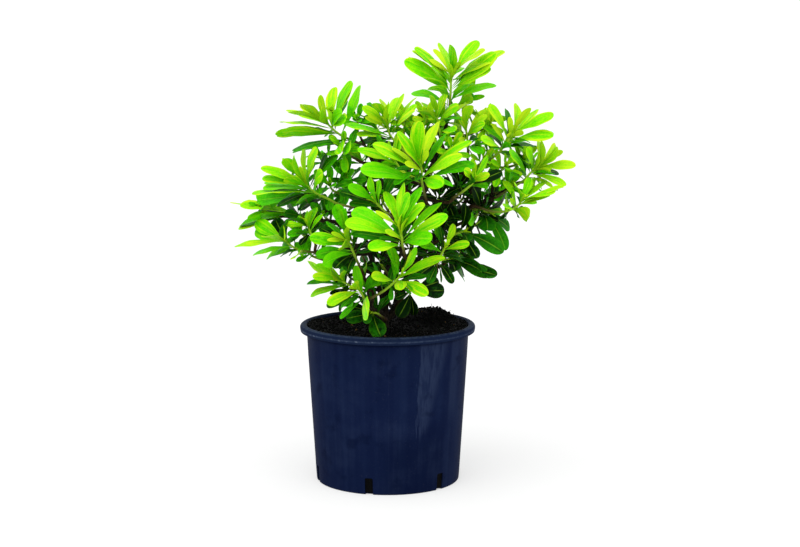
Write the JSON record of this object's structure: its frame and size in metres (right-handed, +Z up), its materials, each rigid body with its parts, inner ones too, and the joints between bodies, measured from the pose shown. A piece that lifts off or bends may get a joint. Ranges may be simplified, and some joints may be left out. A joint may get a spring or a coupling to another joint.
{
  "type": "potted shrub",
  "caption": "Young evergreen shrub with whorls of spatulate leaves on branching woody stems, rooted in dark soil in a round tapered nursery pot with a rolled rim and drainage slots.",
  "frame": {"origin": "centre of the pot's flat underside, where it rests on the floor", "axes": "+Z up, along the pot's axis; -Y is the front, the side pictured; +X to the right as seen from there"},
  "size_m": [0.5126, 0.4081, 0.6517],
  "materials": {
    "pot": "satin",
    "soil": "matte",
    "bark": "matte",
    "leaf": "satin"
  },
  "bodies": {
    "root": {"pot": "pot", "soil": "soil", "trunk": "bark", "shoot_centre_left": "leaf", "shoot_crown": "leaf", "shoot_dark_right_high": "leaf", "shoot_dark_right_low": "leaf", "shoot_dark_right_middle": "leaf", "shoot_far_crown": "leaf", "shoot_far_left": "leaf", "shoot_far_low": "leaf", "shoot_far_low_left": "leaf", "shoot_far_low_right": "leaf", "shoot_far_middle": "leaf", "shoot_far_right": "leaf", "shoot_far_right_top": "leaf", "shoot_far_top": "leaf", "shoot_far_upper_left": "leaf", "shoot_front": "leaf", "shoot_front_high": "leaf", "shoot_left_dark": "leaf", "shoot_left_low": "leaf", "shoot_left_small": "leaf", "shoot_left_up": "leaf", "shoot_low_left": "leaf", "shoot_low_left_front": "leaf", "shoot_low_middle": "leaf", "shoot_middle": "leaf", "shoot_middle_left": "leaf", "shoot_right": "leaf", "shoot_right_low": "leaf", "shoot_right_mid_low": "leaf", "shoot_right_sprig": "leaf", "shoot_right_top": "leaf", "shoot_soil_front": "leaf", "shoot_soil_right": "leaf", "shoot_top_left": "leaf", "shoot_top_middle": "leaf", "shoot_top_right_inner": "leaf", "shoot_upper_left": "leaf"}
  },
  "joints": []
}
